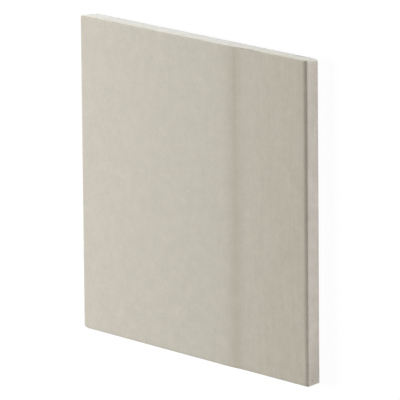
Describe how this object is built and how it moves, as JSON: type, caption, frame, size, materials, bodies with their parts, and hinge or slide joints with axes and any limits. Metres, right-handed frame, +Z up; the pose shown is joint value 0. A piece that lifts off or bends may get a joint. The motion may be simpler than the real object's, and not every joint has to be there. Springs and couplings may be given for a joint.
{
  "type": "drywall sheet",
  "caption": "Cut piece of tapered drywall: a white gypsum core with ivory face paper wrapped round the factory edge, and grey back paper.",
  "frame": {"origin": "on the surface that the sheet lies on, under the middle of its width and length", "axes": "+X to the tapered factory edge, +Y along that edge, +Z up, out of the face"},
  "size_m": [0.254, 0.2286, 0.0127],
  "materials": {
    "gypsum": "matt, sawn, chalky",
    "face_paper": "matt, smooth ivory board paper",
    "back_paper": "matt, fibrous grey recycled paper"
  },
  "bodies": {
    "root": {"gypsum_core": "gypsum", "face_paper": "face_paper", "back_paper": "back_paper"}
  },
  "joints": []
}
